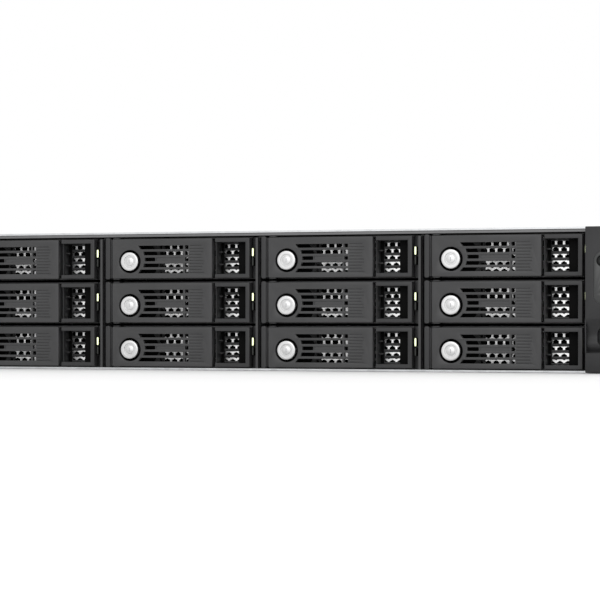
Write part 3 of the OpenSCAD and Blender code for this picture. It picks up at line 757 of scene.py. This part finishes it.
def lights_mesh():
    """Status lights in their panel."""
    s = Shape()
    x0, z0, x1, z1 = PANEL
    s.plate(rect(x0 + 0.12, z0 + 0.12, x1 - 0.12, z1 - 0.12, 5.08, 10), EAR_Y + 0.1, EAR_Y + 0.3, edge=0.08, mat=3,
            holes=[circle(*BUTTON_AT, 3.5, 40)] + [circle(LIGHT_X, z, 1.05, 20) for z in LIGHT_Z])
    for k, z in enumerate(LIGHT_Z):
        s.lathe([(0, 0), (0.6, 0.03), (0.9, 0.15), (1.0, 0.35), (1.0, 0.6), (0, 0.6)], (LIGHT_X, EAR_Y - 0.1, z),
                "y", 24, k)
    return s.mesh("lights", [LIGHT_RED, LIGHT_TEAL, LIGHT_GREEN, PANEL_GREY])


def fixing_screws_mesh():
    s = Shape()
    for x in (-190, -64, 64, 190):
        for y in (-232, -32):
            screw_head(s, (x, y), 87.95, 87.12, 2.75, "z")
    for side in (-1, 1):
        for y in (-228, -198):
            for z in (16, 72):
                screw_head(s, (y, z), side * 218.45, side * 217.6, 2.75, "x")
    return s.mesh("fixing_screws", [SCREW_ZINC])


def build_ears():
    for side, word in ((-1, "left"), (1, "right")):
        place(word + "_ear_front", ear_mesh(side, side > 0), "chassis", "ear_plastic", replaced=[word + "_ear"])
        place(word + "_ear_flange", ear_back_mesh(side), "chassis", "screw_steel")
        place(word + "_rack_screw", rack_screw_mesh(), word + "_rack_screw", "black_screw",
              (side * RACK_AT[0] * MM, EAR_Y * MM, RACK_AT[1] * MM), ["rack_screw_" + word])
    place("power_button_cap", button_mesh(), "power_key", "button_plastic", replaced=["power_button"])
    place("status_light_lenses", lights_mesh(), "chassis", "light_lens", replaced=["status_lights"])
    place("screw_heads", fixing_screws_mesh(), "chassis", "screw_steel", replaced=["fixing_screws"])


# ---------- Carriers and drives ----------

CARRIER_LEN = 182.0
DRIVE_LOW = (1.3, 24.0, 0.35)
DRIVE_SIZE = (101.6, 147.0, 26.1)


def carrier_mesh():
    """Sheet-metal carrier: two sides with screws, and a floor with a window."""
    s = Shape()
    for near, far, out in ((0.45, 1.15, -1), (103.75, 103.05, 1)):
        holes = [circle(d, 6.8, 1.7, 16) for d in (40, 85, 145)]
        holes += [rect(d, 11.5, d + 16, 14.5, 1.4, 3) for d in (52, 100, 122)]
        s.plate(rect(17.4, -0.2, CARRIER_LEN - 0.1, 17.6, 2, 3), near, far, "x", holes=holes, edge=0.12, steps=1)
        for d in (40, 145):
            screw_head(s, (d, 6.8), near - out * 0.05, far - out * 0.3, 2.6, "x", 1)
    # Near-black plate across the carrier's front, before the drive: painted shade that keeps the drive's face dark
    # behind the sheet.
    s.block((1.2, 21.6, 0.35), (103.0, 22.4, 25.2), 0.2, 2)
    s.plate(rect(0.7, 17.4, 103.5, CARRIER_LEN - 0.1, 1), 0.28, -0.25, "z",
            holes=[rect(15, 50, 89, 160, 5, 4)], edge=0.1, steps=1)
    return s.mesh("carrier", [ZINC, SCREW_ZINC, TRAY_PAINTED_SHADE])


def drive_mesh():
    """3.5-inch drive: cast body, stamped lid with screws, blank label, circuit board and connector."""
    s = Shape()
    x0, y0, z0 = DRIVE_LOW
    x1, y1, z1 = (a + b for a, b in zip(DRIVE_LOW, DRIVE_SIZE))
    body = rect(x0 + 0.05, y0 + 0.05, x1 - 0.05, y1 - 0.05, 2.5, 4)
    s.plate(body, z1 - 1.3, z0 + 3.2, "z", edge=0.5)
    s.plate(rect(x0 + 1, y0 + 1, x1 - 1, y1 - 6, 3, 4), z1 - 0.1, z1 - 1.6, "z",
            pits=[(rect(8.2, 32.2, 93.8, 131.8, 9, 6), 0.9)], edge=0.45, mat=1)
    s.plate(circle(52, 82, 17, 48), z1 - 0.55, z1 - 1.6, "z", edge=0.2, mat=1)
    s.plate(rect(14, 104, 88, 129, 1.5, 3), z1 - 0.9, z1 - 1.2, "z", edge=0.05, mat=3)
    s.plate(rect(14, 36, 88, 60, 1.5, 3), z1 - 0.9, z1 - 1.2, "z", edge=0.05, mat=3)
    for x, y in ((5.5, 29), (98.5, 29), (5.5, 82), (98.5, 82), (5.5, 136), (98.5, 136)):
        screw_head(s, (x, y), z1 - 0.02, z1 - 0.9, 1.9, "z", 2)
    s.plate(rect(x0 + 2, y0 + 40, x1 - 2, y1 - 3, 1.5), z0 + 0.1, z0 + 1.6, "z", edge=0.1, mat=4)
    s.plate(rect(x0 + 3, y0 + 2, x1 - 3, y1 - 2, 3), z0 + 1.5, z0 + 3.4, "z", edge=0.3)
    s.plate(rect(22, z0 + 0.4, 80, z0 + 6, 0.6), y1 - 0.3, y1 - 6, "y",
            pits=[(rect(24, z0 + 1.6, 46, z0 + 4.6, 0.3), 4), (rect(50, z0 + 1.6, 78, z0 + 4.6, 0.3), 4)],
            edge=0.2, mat=5)
    for k in range(14):
        s.block((12 + k * 5.5, y0 + 60 + 9 * (k % 3), z0 - 0.05), (14.5 + k * 5.5, y0 + 63 + 9 * (k % 3), z0 + 0.3),
                0.1, 5)
    return s.mesh("drive", [CAST_GREY, ALUMINIUM, SCREW_ZINC, LABEL_PALE, BOARD_GREEN, CHIP_BLACK])


def build_tray_insides():
    carrier, drive = carrier_mesh(), drive_mesh()
    for bay in BAYS:
        at = bay_origin(bay)
        place("tray_carrier_" + bay, carrier, "tray_" + bay, "psu_steel", at)
        place("disk_drive_" + bay, drive, "tray_" + bay, "heatsink_aluminium", at)


# ---------- Inside ----------

FAN_X = (-135.0, -15.0, 105.0)
FAN_Z = 41.9
FAN_Y = (-60.0, -22.0)
PORT_Z = 9.6


def backplane_mesh():
    s = Shape()
    holes, sockets = [], []
    for bay in BAYS:
        x, _, z = (v / MM for v in bay_origin(bay))
        holes += [rect(x + 6, z + 4, x + 28, z + 20, 2), rect(x + 80, z + 4, x + 98, z + 20, 2)]
        sockets.append((x, z))
    s.plate(rect(-211.9, 4.1, 211.9, 83.9, 1.5), -69.95, -67.65, holes=holes, edge=0.1, steps=1)
    for x, z in sockets:
        s.plate(rect(x + 31.1, z + 1.3, x + 72.9, z + 6.1, 0.6), -84.4, -69.9, mat=1, edge=0.3,
                pits=[(rect(x + 33, z + 2.6, x + 50, z + 4.6, 0.2), 6),
                      (rect(x + 53, z + 2.6, x + 71, z + 4.6, 0.2), 6)])
        s.block((x + 40, -67.7, z + 9), (x + 54, -66.2, z + 19), 0.3, 1)
        for k in range(4):
            up = z + 8 + 3 * (k % 2)
            s.block((x + 60 + k * 4, -67.7, up), (x + 62 + k * 4, -66.7, up + 1.4), 0.1, 2)
    for x in (-196, -92, 14, 120, 196):
        s.block((x - 7, -67.7, 34), (x + 7, -61.8, 46), 0.4, 3)
    return s.mesh("backplane", [BOARD_GREEN, CHIP_BLACK, CERAMIC, SOCKET_PALE])


def fan_wall_mesh():
    s = Shape()
    s.plate(rect(-213.1, 1.25, 213.1, 85.9, 0.8), -61.2, -60.02, edge=0.1, steps=1,
            holes=[circle(x, FAN_Z, 38.2, 64) for x in FAN_X]
            + [rect(x - 6, 20, x + 6, 64, 3, 3) for x in (-196, 45, 180)])
    return s.mesh("fan_wall", [ZINC])


def fan_frames_mesh():
    s = Shape()
    y0, y1 = FAN_Y
    for x in FAN_X:
        square = rect(x - 39.9, FAN_Z - 39.9, x + 39.9, FAN_Z + 39.9, 3.5, 4)
        corners = [circle(x + a, FAN_Z + b, 2.1, 16) for a in (-35.8, 35.8) for b in (-35.8, 35.8)]
        for front, back in ((y0 + 0.05, y0 + 5), (y1 - 5, y1 - 0.05)):
            s.plate(square, front, back, holes=[circle(x, FAN_Z, 38, 64)] + corners, edge=0.4)
        s.ring_solid((x, y0 + 4.8, FAN_Z), 37.95, 39.7, y1 - y0 - 9.6, sides=64)
        s.rod((x, y1 - 7, FAN_Z), 6.8, 16.9, sides=48, edge=0.5)
        for k in range(5):
            t = math.radians(72 * k + 20)
            turn = t + 0.5
            s.tube([(x + 16 * math.cos(t), y1 - 3.5, FAN_Z + 16 * math.sin(t)),
                    (x + 27 * math.cos(t + 0.22), y1 - 3.5, FAN_Z + 27 * math.sin(t + 0.22)),
                    (x + 38.4 * math.cos(turn), y1 - 3.5, FAN_Z + 38.4 * math.sin(turn))], 1.6, 10)
    return s.mesh("fan_frames", [FAN_BLACK])


def rotor_mesh():
    """Fan rotor about the origin: hub with a blank sticker and seven swept blades."""
    s = Shape()
    s.lathe([(0, 0), (14.4, 0), (15.8, 0.5), (16.4, 1.9), (16.4, 28), (0, 28)], (0, 0, 0), "y", 56)
    s.lathe([(0, 27), (1.45, 27), (1.45, 34), (0, 34)], (0, 0, 0), "y", 20, 1)
    s.lathe([(0, -0.06), (12.4, -0.06), (12.4, 0.2), (0, 0.2)], (0, 0, 0), "y", 48, 2)
    across, along = 6, 8
    for blade in range(7):
        first = len(s.points)
        for i in range(across + 1):
            r = 15.8 + (37.1 - 15.8) * i / across
            for k in range(along + 1):
                share = k / along
                swing = 2 * math.pi * blade / 7 + share * 19.5 / r * 1.25 + 0.16 * (i / across) ** 2
                thick = 0.25 + 0.6 * math.sin(math.pi * min(1, share * 0.9 + 0.1)) * (1.25 - 0.5 * i / across)
                y = 3 + 17 * share + 1.6 * math.sin(math.pi * share)
                for side in (-1, 1):
                    t = swing + side * thick / r * 0.7
                    s.points.append([r * math.cos(t), y - side * thick * 0.7, r * math.sin(t)])

        def grid(i, k, side):
            return first + (i * (along + 1) + k) * 2 + side

        for i in range(across):
            for k in range(along):
                for side in (0, 1):
                    s.face((grid(i, k, side), grid(i + 1, k, side), grid(i + 1, k + 1, side), grid(i, k + 1, side)), 0)
        for i in range(across):
            for k in (0, along):
                s.face((grid(i, k, 0), grid(i + 1, k, 0), grid(i + 1, k, 1), grid(i, k, 1)), 0)
        for k in range(along):
            for i in (0, across):
                s.face((grid(i, k, 0), grid(i, k + 1, 0), grid(i, k + 1, 1), grid(i, k, 1)), 0)
    return s.mesh("rotor", [FAN_BLACK, SCREW_ZINC, LABEL_PALE])


def mainboard_mesh():
    """Circuit board with sockets, slots, chips, coils and capacitors."""
    s = Shape()
    x0, y0, z0, z1 = -206.0, -6.0, 8.0, 9.6
    holes = [circle(x0 + x, y0 + y, 1.6, 16) for x in (8, 322) for y in (8, 125, 238)]
    s.plate(rect(x0 + 0.1, y0 + 0.1, x0 + 329.9, y0 + 249.9, 2), z1 - 0.02, z0 + 0.05, "z", holes=holes,
            edge=0.1, steps=1)
    for i in range(4):
        x = -20 + i * 9
        s.plate(rect(x, 40, x + 6, 180, 0.8), z1 + 7.9, z1 - 0.1, "z", pits=[(rect(x + 2.1, 44, x + 3.9, 176, 0.2), 4)],
                edge=0.3, mat=1)
    s.plate(rect(-150, 60, -90, 120, 2), z1 + 2.9, z1 - 0.1, "z", edge=0.4, mat=1)
    for x in (-62, -84, -106, -128):
        s.plate(rect(x + 2, 150, x + 10, 239.5, 0.8), z1 + 9.9, z1 - 0.1, "z",
                pits=[(rect(x + 5.2, 153, x + 6.8, 212, 0.2), 5), (rect(x + 5.2, 216, x + 6.8, 236, 0.2), 5)],
                edge=0.4, mat=1)
    for k in range(26):
        x = -196 + (k * 37.7) % 46
        y = 2 + k * 8.6
        s.block((x, y, z1 - 0.1), (x + 3 + (k % 3), y + 3 + (k % 2), z1 + 0.9 + 0.2 * (k % 3)), 0.1, 1 + 3 * (k % 2))
    for k in range(9):
        s.rod((-148 + k * 9.5, 142, z1 - 0.1), 8.3, 3.4, "z", 20, 0.5, 3)
        s.block((-150 + k * 9.5, 20, z1 - 0.1), (-143 + k * 9.5, 27, z1 + 4), 0.5, 5)
        s.rod((-146.5 + k * 9.5, 36, z1 - 0.1), 7.8, 3.1, "z", 20, 0.5, 3)
    for x, y, w in ((40, 60, 26), (40, 110, 18), (82, 60, 14), (84, 96, 17), (-60, 20, 15), (20, 200, 14)):
        s.plate(rect(x, y, x + w, y + w, 0.6), z1 + 1.9, z1 - 0.1, "z", edge=0.2, mat=1)
    s.block((40, 60, z1 + 1.5), (66, 86, z1 + 3), 0.3, 3)
    for k in range(7):
        s.plate(rect(41 + k * 3.6, 61, 42.4 + k * 3.6, 85), z1 + 12, z1 + 2, "z", edge=0.15, mat=3)
    for k in range(3):
        s.plate(rect(60 + k * 20, 4, 76 + k * 20, 12, 0.6), z1 + 9, z1 - 0.1, "z", mat=5,
                pits=[(rect(61.2 + k * 20, 5.2, 74.8 + k * 20, 10.8, 0.3), 6)])
        s.plate(rect(104, 30 + k * 30, 112, 54 + k * 30, 0.6), z1 + 9, z1 - 0.1, "z", mat=1,
                pits=[(rect(105.2, 31.5 + k * 30, 110.8, 52.5 + k * 30, 0.3), 6)])
    s.rod((100, 150, z1 - 0.1), 3.2, 10, "z", 40, 0.5, 3)
    for x in (8, 322):
        for y in (8, 125, 238):
            screw_head(s, (x0 + x, y0 + y), z1 + 1.9, z1 - 0.05, 2.9, "z", 3)
    return s.mesh("mainboard", [BOARD_GREEN, CHIP_BLACK, CERAMIC, ALUMINIUM, CERAMIC, SOCKET_PALE])


def memory_mesh():
    s = Shape()
    for i in range(4):
        x = -17.6 + i * 9
        s.plate(rect(43.1, PORT_Z + 8.05, 175.9, PORT_Z + 35.9, 0.4), x + 0.1, x + 1.1, "x", edge=0.05, steps=1)
        for k in range(9):
            y = 48 + k * 14
            s.plate(rect(y, PORT_Z + 13, y + 9, PORT_Z + 25, 0.2), x, x + 0.3, "x", edge=0.05, steps=1, mat=1)
            s.plate(rect(y, PORT_Z + 13, y + 9, PORT_Z + 25, 0.2), x + 1.2, x + 0.9, "x", edge=0.05, steps=1, mat=1)
    return s.mesh("memory", [BOARD_GREEN, CHIP_BLACK])


def build_inside():
    place("backplane_board", backplane_mesh(), "chassis", "circuit_board", replaced=["backplane"])
    place("fan_bulkhead", fan_wall_mesh(), "chassis", "chassis_steel")
    place("fan_housings", fan_frames_mesh(), "chassis", "fan_plastic", replaced=["fan_frames"])
    rotor = rotor_mesh()
    for k, x in enumerate(FAN_X, 1):
        place("fan_blades_%d" % k, rotor, "rotor_%d" % k, "fan_plastic",
              (x * MM, (FAN_Y[0] + 2) * MM, FAN_Z * MM), ["fan_rotor_%d" % k])
    place("circuit_board_main", mainboard_mesh(), "chassis", "circuit_board", replaced=["mainboard"])
    place("memory_sticks", memory_mesh(), "chassis", "circuit_board", replaced=["memory_modules"])
    dress("cpu_heatsink", ALUMINIUM, 0.1)


# ---------- Rear end ----------

REAR_Y = 250.0
CARD_X = (-62.0, -84.0, -106.0, -128.0)
NETWORK_X = (-30.0, -13.0, 4.0, 21.0)
OPTICAL_X = (46.0, 61.0)
SERIAL_X = (82.0, 98.0)


def rear_ports_mesh():
    """Sockets on the board's rear edge, and the blank covers of the card slots."""
    s = Shape()
    y = REAR_Y + 0.55
    for x in NETWORK_X:
        s.plate(rect(x + 0.05, PORT_Z, x + 15.45, PORT_Z + 12.95, 0.6), y, y - 17.9, edge=0.25,
                pits=[(rect(x + 1.8, PORT_Z + 1.3, x + 13.7, PORT_Z + 11.7, 0.4), 13.8)])
        s.plate(rect(x + 1.8, PORT_Z + 1.3, x + 13.7, PORT_Z + 11.7, 0.3), y - 0.4, y - 13.9, edge=0.1, mat=1,
                pits=[([(x + 2.3, PORT_Z + 1.8), (x + 13.2, PORT_Z + 1.8), (x + 13.2, PORT_Z + 8.8),
                        (x + 10.8, PORT_Z + 8.8), (x + 10.8, PORT_Z + 10.6), (x + 4.7, PORT_Z + 10.6),
                        (x + 4.7, PORT_Z + 8.8), (x + 2.3, PORT_Z + 8.8)], 13)])
        for k in range(8):
            s.block((x + 3.7 + k * 1.05, y - 13, PORT_Z + 1.9), (x + 4.1 + k * 1.05, y - 5, PORT_Z + 2.5), 0.05, 2)
        for u, mat in ((2.0, 4), (11.4, 5)):
            s.block((x + u, y - 1.5, PORT_Z + 9.3), (x + u + 2.1, y - 0.3, PORT_Z + 11.4), 0.2, mat)
    for x in OPTICAL_X:
        s.plate(rect(x + 0.05, PORT_Z, x + 13.95, PORT_Z + 10.95, 0.5), y, y - 29.9, edge=0.2,
                pits=[(rect(x + 1, PORT_Z + 1.2, x + 13, PORT_Z + 9.8, 0.3), 13.8)])
        s.block((x + 4, y - 13.7, PORT_Z + 3), (x + 10, y - 10.5, PORT_Z + 6), 0.2, 1)
    for x in SERIAL_X:
        s.plate(rect(x + 0.05, PORT_Z, x + 13.95, PORT_Z + 15.95, 0.6), y, y - 17.9, edge=0.25,
                pits=[(rect(x + 0.95, PORT_Z + 1.2, x + 13.05, PORT_Z + 6.9, 0.3), 13.5),
                      (rect(x + 0.95, PORT_Z + 9.1, x + 13.05, PORT_Z + 14.8, 0.3), 13.5)])
        for z in (4.2, 12.0):
            s.block((x + 1.6, y - 13, PORT_Z + z), (x + 12.4, y - 1.6, PORT_Z + z + 1.9), 0.15, 3)
            for k in range(4):
                left = x + 2.8 + k * 2.4
                s.block((left, y - 10, PORT_Z + z - 0.12), (left + 1.2, y - 2.2, PORT_Z + z + 0.1), 0.04, 2)
    for x in CARD_X:
        vents = [rect(x + 3.5, 17 + k * 9, x + 10.5, 20.4 + k * 9, 1.6, 3) for k in range(7)]
        s.plate(rect(x - 1.9, 11.1, x + 15.9, 82.9, 1), REAR_Y + 0.78, REAR_Y + 0.02, holes=vents, edge=0.15, mat=6)
        s.block((x - 1.9, REAR_Y - 11.9, 82.05), (x + 15.9, REAR_Y + 0.7, 82.95), 0.2, 6)
        screw_head(s, (x + 7, REAR_Y - 7), 84.6, 82.9, 2.8, "z", 6)
    return s.mesh("rear_ports", [TINNED, CHIP_BLACK, GOLD, SOCKET_BLUE, LIGHT_GREEN, LIGHT_AMBER, ZINC_SHEET])


def supply_mesh():
    """Power supply from its own origin: sheet shell, honeycomb over the fan, inlet, latch and face."""
    s = Shape()
    w, length, h = 74.0, 189.0, 40.0
    holes = []
    for j in range(10):
        for i in range(9):
            x, z = 2 + (i + (j % 2) / 2) * 5, j * 5 * math.sqrt(3) / 2
            if math.hypot(x - 22, z - 20) < 15.2:
                holes.append(hexagon(x, z, 2.35))
    holes.append(rect(46, 11, 70, 27, 1.5, 3))
    s.plate(rect(0.05, 0.05, w - 0.05, h - 0.05, 0.8), length, length - 1.1, holes=holes, edge=0.2)
    for low, high in (((0.05, 0.1, 0.05), (w - 0.05, length - 1, 1)),
                      ((0.05, 0.1, h - 1), (w - 0.05, length - 1, h - 0.05)),
                      ((0.05, 0.1, 0.9), (1, length - 1, h - 0.9)),
                      ((w - 1, 0.1, 0.9), (w - 0.05, length - 1, h - 0.9))):
        s.block(low, high, 0.1, 0)
    s.block((2, 3, 2), (w - 2, 5, h - 2), 0.4, 1)
    s.ring_solid((22, length - 16, 20), 17.2, 18.8, 14.5, sides=48, mat=1)
    s.rod((22, length - 14, 20), 12, 6.5, sides=32, edge=0.8, mat=1)
    for k in range(9):
        t = math.radians(40 * k)
        s.tube([(22 + 5 * math.cos(t), length - 12, 20 + 5 * math.sin(t)),
                (22 + 16.6 * math.cos(t + 0.5), length - 6, 20 + 16.6 * math.sin(t + 0.5))], 1.0, 8, 1)
    # Mains inlet with its three blades
    s.plate(rect(46.1, 11.1, 69.9, 26.9, 1.4, 3), length - 0.3, length - 16.5, edge=0.4, mat=1,
            pits=[([(48.4, 12.6), (67.6, 12.6), (67.6, 21.4), (64.2, 25.4), (51.8, 25.4), (48.4, 21.4)], 14)])
    for x in (50.6, 57.2, 63.8):
        s.block((x, length - 15, 17), (x + 1.6, length - 5.5, 21), 0.25, 2)
    # Latch, light and the lugs of the handle
    s.block((48.1, length - 0.3, 31.6), (63.9, length + 4.9, 36.4), 0.8, 3)
    for k in range(4):
        s.block((50.5 + k * 3.4, length + 4.7, 32.6), (51.7 + k * 3.4, length + 4.95, 35.4), 0.1, 1)
    for x in (3, 40):
        s.plate(rect(length - 0.3, 31.6, length + 6.9, 38.4, 1.6, 4), x + 0.05, x + 2.35, "x", edge=0.3, mat=1,
                holes=[circle(length + 3.6, 35, 1.6, 20)])
    s.rod((68, length - 0.4, 34.5), 1.2, 1.3, sides=20, edge=0.3, mat=4)
    for x, z in ((2.9, 3.4), (71, 3.4), (71, 36.6)):
        screw_head(s, (x, z), length + 0.5, length - 0.1, 2.0, "y", 2)
    return s.mesh("supply", [ZINC_SHEET, CHIP_BLACK, SCREW_ZINC, HANDLE_BLACK, LIGHT_GREEN])


def bail_mesh():
    """Bail handle from the same origin as its supply."""
    s = Shape()
    y = 189.0
    s.plate([(5.85, 4.05), (39.15, 4.05), (39.15, 36.7), (37.05, 36.7), (37.05, 9), (8, 9), (8, 36.7), (5.85, 36.7)],
            y + 5.55, y + 1.65, edge=0.7, steps=3)
    for x in (2.05, 39.0):
        s.rod((x, y + 3.6, 35), 4.1 if x < 5 else 4.3, 1.45, "x", 20, 0.2)
    return s.mesh("bail", [HANDLE_BLACK])


def build_rear():
    place("rear_sockets", rear_ports_mesh(), "chassis", "port_metal", replaced=["rear_ports"])
    supply, bail = supply_mesh(), bail_mesh()
    for k in (1, 2):
        low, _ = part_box("psu_%d" % k)
        place("supply_case_%d" % k, supply, "supply_%d" % k, "psu_steel", low, ["psu_%d" % k])
        place("supply_bail_%d" % k, bail, "bail_%d" % k, "handle_plastic", low, ["psu_handle_%d" % k])


# ---------- Stage ----------


def add_stage():
    scene = bpy.context.scene
    scene.view_settings.view_transform = "Standard"
    world = bpy.data.worlds.new("studio")
    scene.world = world
    world.use_nodes = True
    world.node_tree.nodes["Background"].inputs["Color"].default_value = (1, 1, 1, 1)
    world.node_tree.nodes["Background"].inputs["Strength"].default_value = 1.0
    floor = Shape()
    floor.plate(rect(-6000, -6000, 6000, 6000), -2.2, -0.2, "z", edge=0)
    n = Nodes("floor_white")
    n.link(n.tint(n.spread(n.noise(3, 2), 0, 1), (0.9, 0.9, 0.9), (0.92, 0.92, 0.92)),
           n.shader.inputs["Base Color"])
    n.shader.inputs["Roughness"].default_value = 0.8
    made = bpy.data.objects.new("floor", floor.mesh("floor", [n.material]))
    scene.collection.objects.link(made)


def area_light(name, at, target, size, power):
    light = bpy.data.lights.new(name, "AREA")
    light.shape = "RECTANGLE"
    light.size, light.size_y = size
    light.energy = power
    lamp = bpy.data.objects.new(name, light)
    bpy.context.scene.collection.objects.link(lamp)
    lamp.location = at
    lamp.rotation_euler = (Vector(target) - Vector(at)).to_track_quat("-Z", "Y").to_euler()


add_camera()
add_stage()
area_light("key", (0.4, -2.6, 1.1), (0, 0, 0), (2.0, 1.6), 22)
build_bays()
build_tray_insides()
build_ears()
dress_sheet_metal()
build_inside()
build_rear()
